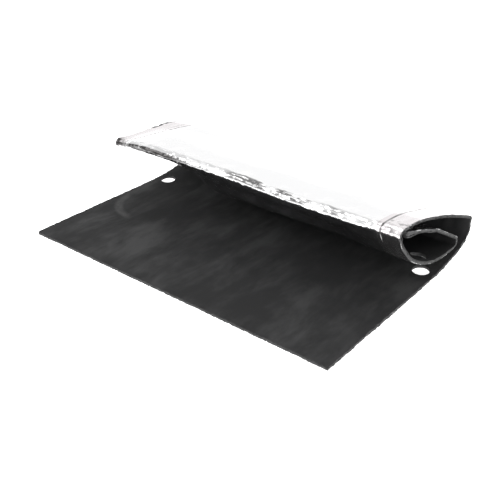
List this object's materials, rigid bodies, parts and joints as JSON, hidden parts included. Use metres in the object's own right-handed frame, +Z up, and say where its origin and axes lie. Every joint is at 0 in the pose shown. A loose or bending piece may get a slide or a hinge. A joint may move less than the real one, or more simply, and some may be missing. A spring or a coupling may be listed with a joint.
{
  "type": "seedling heat mat",
  "caption": "Thin foil-backed black heat mat with taped side edges and punched corner holes, folded over at the rear and loosely rolled.",
  "frame": {"origin": "under the middle of the folded mat, on the surface it lies on", "axes": "+X along the mat's width, +Y from the front edge to the rear fold, +Z up"},
  "size_m": [0.6, 0.4134, 0.1299],
  "materials": {
    "black_cover": "matte charcoal skin with soft streaks",
    "heating_film": "carbon heating film",
    "busbar": "bare copper strip",
    "foam_core": "closed-cell foam, cut edge",
    "foil": "crinkled bright foil",
    "tape": "smooth foil tape",
    "housing": "moulded black plastic",
    "crimp": "tinned crimp",
    "gland": "soft black rubber"
  },
  "bodies": {
    "bed": {"bed_black_cover": "black_cover", "bed_heating_film": "heating_film", "bed_busbar_left": "busbar", "bed_busbar_right": "busbar", "bed_foam_core": "foam_core", "bed_foil": "foil", "bed_tape_left": "tape", "bed_tape_right": "tape"},
    "flap": {"flap_black_cover": "black_cover", "flap_heating_film": "heating_film", "flap_busbar_left": "busbar", "flap_busbar_right": "busbar", "flap_foam_core": "foam_core", "flap_foil": "foil", "flap_tape_left": "tape", "flap_tape_right": "tape"},
    "roll": {"roll_black_cover": "black_cover", "roll_heating_film": "heating_film", "roll_busbar_left": "busbar", "roll_busbar_right": "busbar", "roll_foam_core": "foam_core", "roll_foil": "foil", "roll_tape_left": "tape", "roll_tape_right": "tape", "terminal_base": "housing", "terminal_cover": "housing", "cord_gland": "gland", "crimp_live": "crimp", "crimp_neutral": "crimp"}
  },
  "joints": [
    {"name": "rear_fold", "type": "hinge", "parent": "bed", "child": "flap", "pos_m": [0, 0.20666, 0.05137], "axis": [-1, 0, 0], "range_deg": [0, 110]},
    {"name": "nose_fold", "type": "hinge", "parent": "flap", "child": "roll", "pos_m": [0, -0.03898, 0.12589], "axis": [-1, 0, 0], "range_deg": [0, 77]}
  ],
  "couplings": [
    {"joint": "nose_fold", "follows": "rear_fold", "ratio": 0.7}
  ]
}
